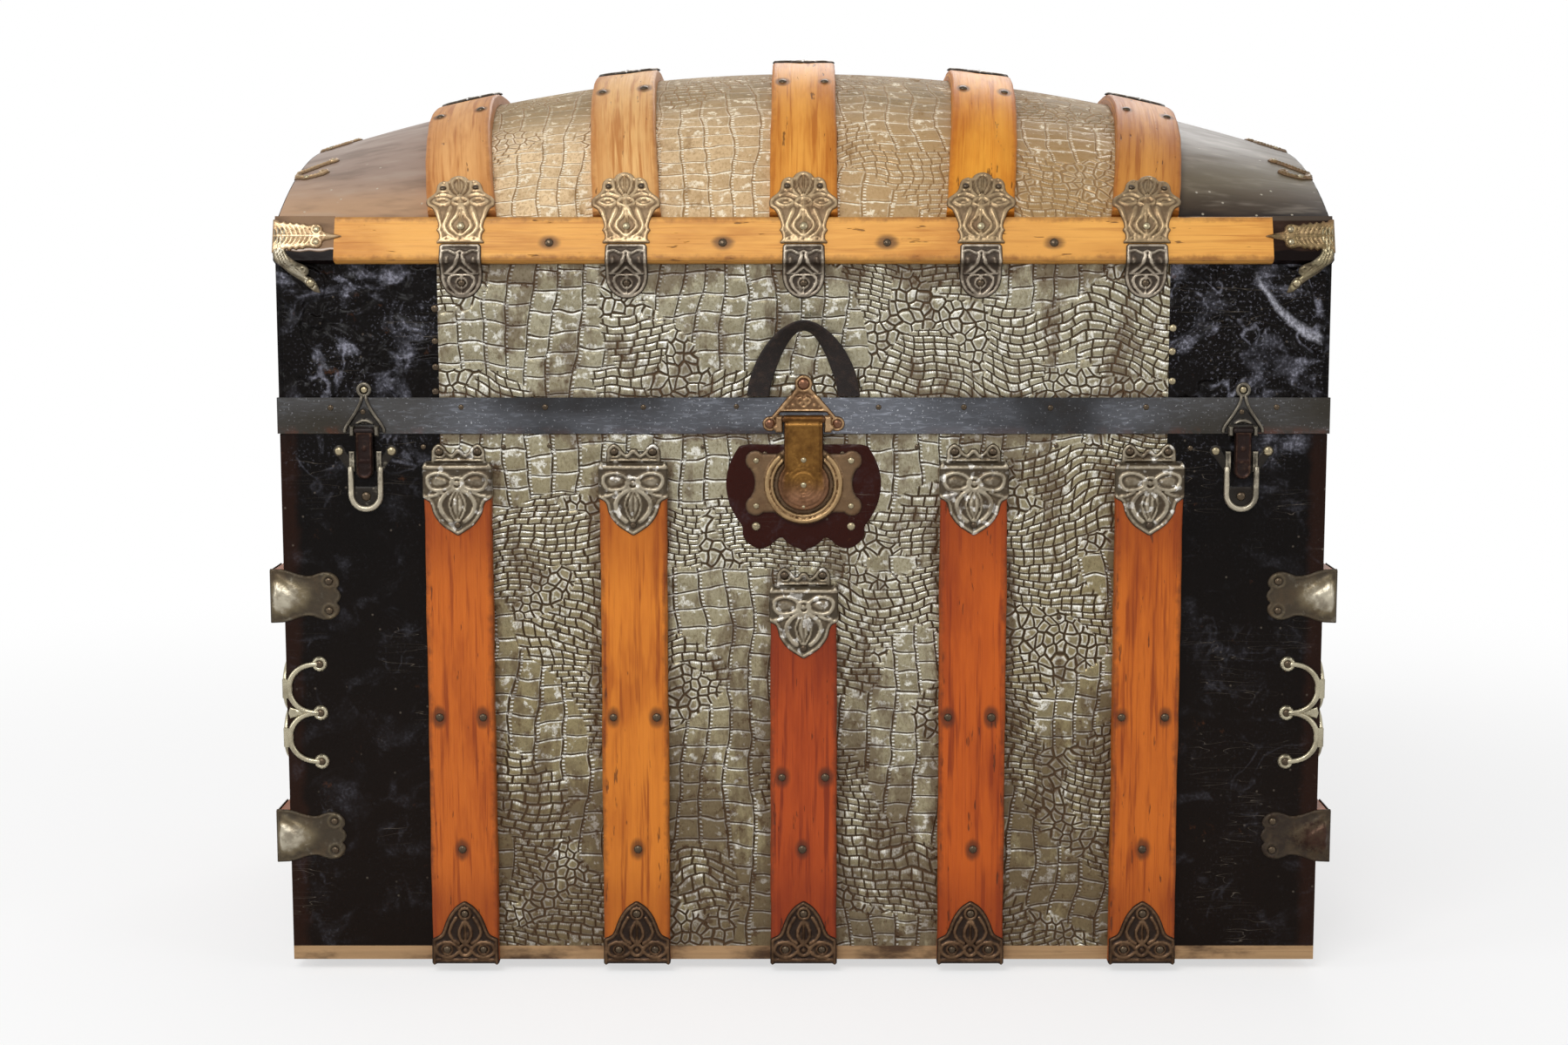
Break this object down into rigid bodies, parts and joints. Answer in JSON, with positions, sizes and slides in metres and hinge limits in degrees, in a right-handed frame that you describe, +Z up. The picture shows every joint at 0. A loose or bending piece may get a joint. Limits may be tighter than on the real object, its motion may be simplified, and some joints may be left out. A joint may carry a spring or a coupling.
{
  "type": "dome top trunk",
  "caption": "Domed travelling trunk of wood under embossed sheet metal, with slats, stamped clamps, hinged crowned lid, hasp, draw bolts, leather handles and lift-out tray.",
  "frame": {"origin": "on the floor under the middle of the case, on the underside of the middle runner", "axes": "+X to the viewer's right along the trunk's width, +Y from the lock side to the hinge side, +Z up"},
  "size_m": [0.879, 0.5128, 0.7277],
  "materials": {
    "pine": "dry planed boards",
    "runner_oak": "worn hardwood",
    "embossed_tin": "embossed scale pattern, worn gilt paint",
    "japanned_tin": "worn black varnish",
    "case_slat_oak": "old shellac over oak",
    "dome_slat_oak": "honey shellac over bent oak",
    "tinned_clamp": "tarnished tin plate with rust",
    "cast_hardware": "worn nickel over iron",
    "belt_steel": "blued steel band with scratches",
    "nail_iron": "dark forged heads",
    "backing_paint": "glossy oxblood varnish",
    "lock_brass": "brown tarnished brass",
    "strap_leather": "hard dry leather",
    "tray_wood": "thin bare basswood"
  },
  "bodies": {
    "case": {"floor_board": "pine", "bottom_runners": "runner_oak", "front_board": "pine", "back_board": "pine", "end_boards": "pine", "front_croc_tin": "embossed_tin", "back_croc_tin": "embossed_tin", "corner_tins": "japanned_tin", "front_slat_1": "case_slat_oak", "front_slat_2": "case_slat_oak", "front_slat_3": "case_slat_oak", "front_slat_4": "case_slat_oak", "front_slat_5": "case_slat_oak", "back_slats": "case_slat_oak", "end_slats": "case_slat_oak", "crown_clamps": "tinned_clamp", "foot_clamps": "tinned_clamp", "end_slat_clamps": "tinned_clamp", "corner_braces": "cast_hardware", "lock_backing": "backing_paint", "lock_plate": "lock_brass", "lock_case": "lock_brass", "drawbolt_keepers": "cast_hardware", "handle_caps": "cast_hardware", "end_handles": "strap_leather", "tray_cleats": "pine", "case_nails": "nail_iron", "case_hinge_leaves": "cast_hardware", "hinge_pins": "belt_steel"},
    "lid": {"lid_front_board": "pine", "lid_back_board": "pine", "lid_end_boards": "pine", "dome_shell": "pine", "dome_croc_tin": "embossed_tin", "dome_end_tins": "japanned_tin", "lid_croc_tins": "embossed_tin", "lid_corner_tins": "japanned_tin", "lid_belt": "belt_steel", "lid_rails": "dome_slat_oak", "rail_end_caps": "japanned_tin", "dome_slat_1": "dome_slat_oak", "dome_slat_2": "dome_slat_oak", "dome_slat_3": "dome_slat_oak", "dome_slat_4": "dome_slat_oak", "dome_slat_5": "dome_slat_oak", "rosette_clamps": "tinned_clamp", "tongue_plates": "tinned_clamp", "apex_clamps": "tinned_clamp", "corner_castings": "cast_hardware", "dome_clips": "tinned_clamp", "lift_strap": "strap_leather", "hasp_plate": "lock_brass", "drawbolt_plates": "cast_hardware", "lid_nails": "nail_iron", "lid_hinge_leaves": "cast_hardware"},
    "hasp": {"lock_hasp": "lock_brass"},
    "draw_bolt_left": {"drawbolt_tongue_left": "cast_hardware"},
    "draw_bolt_right": {"drawbolt_tongue_right": "cast_hardware"},
    "lock_bolt": {"lock_bolt": "lock_brass"},
    "tray": {"lift_out_tray": "tray_wood"}
  },
  "joints": [
    {"name": "lid_hinge", "type": "hinge", "parent": "case", "child": "lid", "pos_m": [0, 0.2453, 0.429], "axis": [-1, 0, 0], "range_deg": [0, 100]},
    {"name": "hasp_hinge", "type": "hinge", "parent": "lid", "child": "hasp", "pos_m": [0, -0.2455, 0.441], "axis": [-1, 0, 0], "range_deg": [0, 140]},
    {"name": "draw_bolt_left_hinge", "type": "hinge", "parent": "lid", "child": "draw_bolt_left", "pos_m": [-0.34, -0.2447, 0.432], "axis": [-1, 0, 0], "range_deg": [0, 120]},
    {"name": "draw_bolt_right_hinge", "type": "hinge", "parent": "lid", "child": "draw_bolt_right", "pos_m": [0.34, -0.2447, 0.432], "axis": [-1, 0, 0], "range_deg": [0, 120]},
    {"name": "lock_bolt_slide", "type": "slide", "parent": "case", "child": "lock_bolt", "axis": [1, 0, 0], "range_m": [0, 0.006]},
    {"name": "tray_lift", "type": "slide", "parent": "case", "child": "tray", "axis": [0, 0, 1], "range_m": [0, 0.13]}
  ]
}
